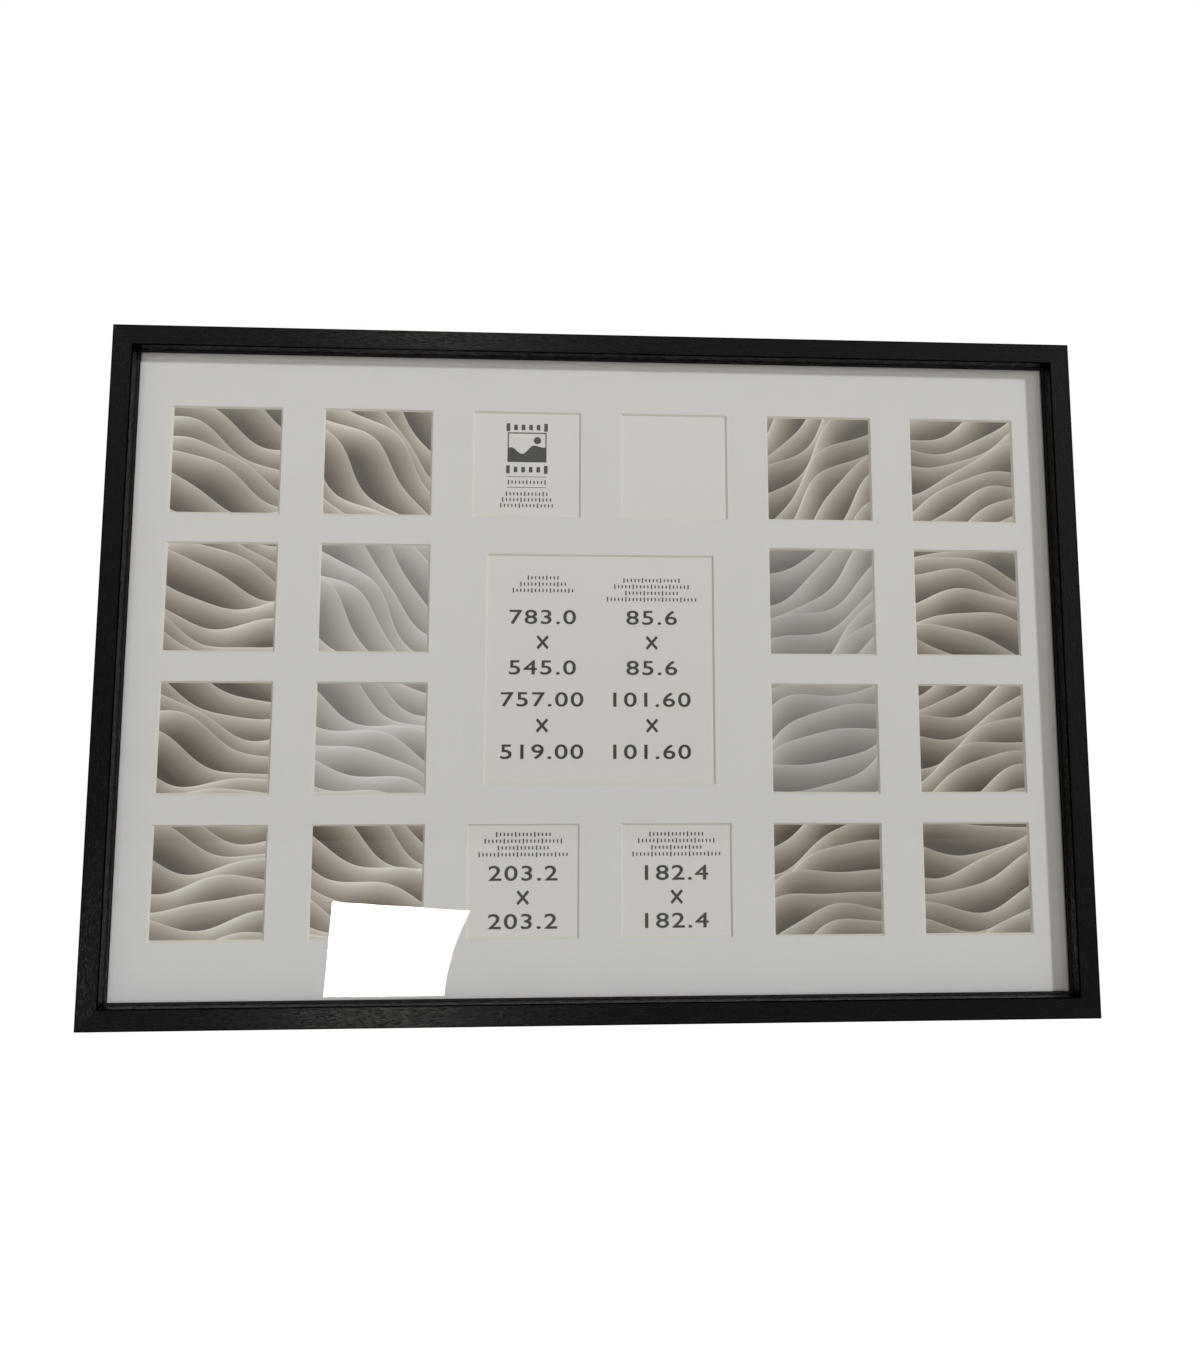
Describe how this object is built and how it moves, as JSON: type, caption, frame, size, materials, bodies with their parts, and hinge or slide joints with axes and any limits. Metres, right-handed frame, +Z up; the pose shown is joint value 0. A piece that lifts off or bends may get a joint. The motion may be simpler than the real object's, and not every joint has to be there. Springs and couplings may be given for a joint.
{
  "type": "collage photo frame",
  "caption": "Wall-hung collage photo frame: deep black box moulding, glass, and a pale mat with one large and many small square windows; a board held by turn buttons, ring hangers.",
  "frame": {"origin": "on the wall, half way between the two wall hooks that hold the ring hangers", "axes": "+X to the right seen from the front, +Z up, +Y into the wall; the front faces -Y"},
  "size_m": [0.783, 0.0255, 0.545],
  "materials": {
    "moulding": "black wood-grain wrap, satin",
    "glazing": "clear, polished",
    "mat": "pale warm grey paper face with a cream bevel",
    "print": "matt print in taupe greys",
    "board": "brown hardboard",
    "steel": "zinc plated",
    "button": "zinc plated, stamped",
    "hanger": "nickel plated",
    "bumper": "grey-black felt"
  },
  "bodies": {
    "root": {"rail_top": "moulding", "rail_bottom": "moulding", "rail_left": "moulding", "rail_right": "moulding", "corner_v_nails": "steel", "glazing_sheet": "glazing", "window_mat": "mat", "photo_insert": "print", "backing_board": "board", "turn_button_screws": "steel", "hanger_strap_left": "hanger", "hanger_strap_right": "hanger", "hanger_screws": "hanger", "wall_bumpers": "bumper"},
    "turn_button_bottom_1": {"turn_button_bottom_1": "button"},
    "turn_button_bottom_2": {"turn_button_bottom_2": "button"},
    "turn_button_bottom_3": {"turn_button_bottom_3": "button"},
    "turn_button_left_1": {"turn_button_left_1": "button"},
    "turn_button_left_2": {"turn_button_left_2": "button"},
    "turn_button_right_1": {"turn_button_right_1": "button"},
    "turn_button_right_2": {"turn_button_right_2": "button"},
    "turn_button_top_1": {"turn_button_top_1": "button"},
    "turn_button_top_2": {"turn_button_top_2": "button"},
    "turn_button_top_3": {"turn_button_top_3": "button"},
    "hanger_ring_left": {"hanger_ring_left": "hanger"},
    "hanger_ring_right": {"hanger_ring_right": "hanger"}
  },
  "joints": [
    {"name": "turn_button_bottom_1_turn", "type": "hinge", "parent": "root", "child": "turn_button_bottom_1", "pos_m": [-0.26, -0.004, -0.3862], "axis": [0, 1, 0], "continuous": true},
    {"name": "turn_button_bottom_2_turn", "type": "hinge", "parent": "root", "child": "turn_button_bottom_2", "pos_m": [0, -0.004, -0.3862], "axis": [0, 1, 0], "continuous": true},
    {"name": "turn_button_bottom_3_turn", "type": "hinge", "parent": "root", "child": "turn_button_bottom_3", "pos_m": [0.26, -0.004, -0.3862], "axis": [0, 1, 0], "continuous": true},
    {"name": "turn_button_left_1_turn", "type": "hinge", "parent": "root", "child": "turn_button_left_1", "pos_m": [-0.3855, -0.004, -0.2897], "axis": [0, 1, 0], "continuous": true},
    {"name": "turn_button_left_2_turn", "type": "hinge", "parent": "root", "child": "turn_button_left_2", "pos_m": [-0.3855, -0.004, 0.0503], "axis": [0, 1, 0], "continuous": true},
    {"name": "turn_button_right_1_turn", "type": "hinge", "parent": "root", "child": "turn_button_right_1", "pos_m": [0.3855, -0.004, -0.2897], "axis": [0, 1, 0], "continuous": true},
    {"name": "turn_button_right_2_turn", "type": "hinge", "parent": "root", "child": "turn_button_right_2", "pos_m": [0.3855, -0.004, 0.0503], "axis": [0, 1, 0], "continuous": true},
    {"name": "turn_button_top_1_turn", "type": "hinge", "parent": "root", "child": "turn_button_top_1", "pos_m": [-0.26, -0.004, 0.1468], "axis": [0, 1, 0], "continuous": true},
    {"name": "turn_button_top_2_turn", "type": "hinge", "parent": "root", "child": "turn_button_top_2", "pos_m": [0, -0.004, 0.1468], "axis": [0, 1, 0], "continuous": true},
    {"name": "turn_button_top_3_turn", "type": "hinge", "parent": "root", "child": "turn_button_top_3", "pos_m": [0.26, -0.004, 0.1468], "axis": [0, 1, 0], "continuous": true},
    {"name": "hanger_ring_left_swing", "type": "hinge", "parent": "root", "child": "hanger_ring_left", "pos_m": [-0.3843, -0.00212, -0.0097], "axis": [1, 0, 0], "range_deg": [0, 174]},
    {"name": "hanger_ring_right_swing", "type": "hinge", "parent": "root", "child": "hanger_ring_right", "pos_m": [0.3843, -0.00212, -0.0097], "axis": [1, 0, 0], "range_deg": [0, 174]}
  ]
}
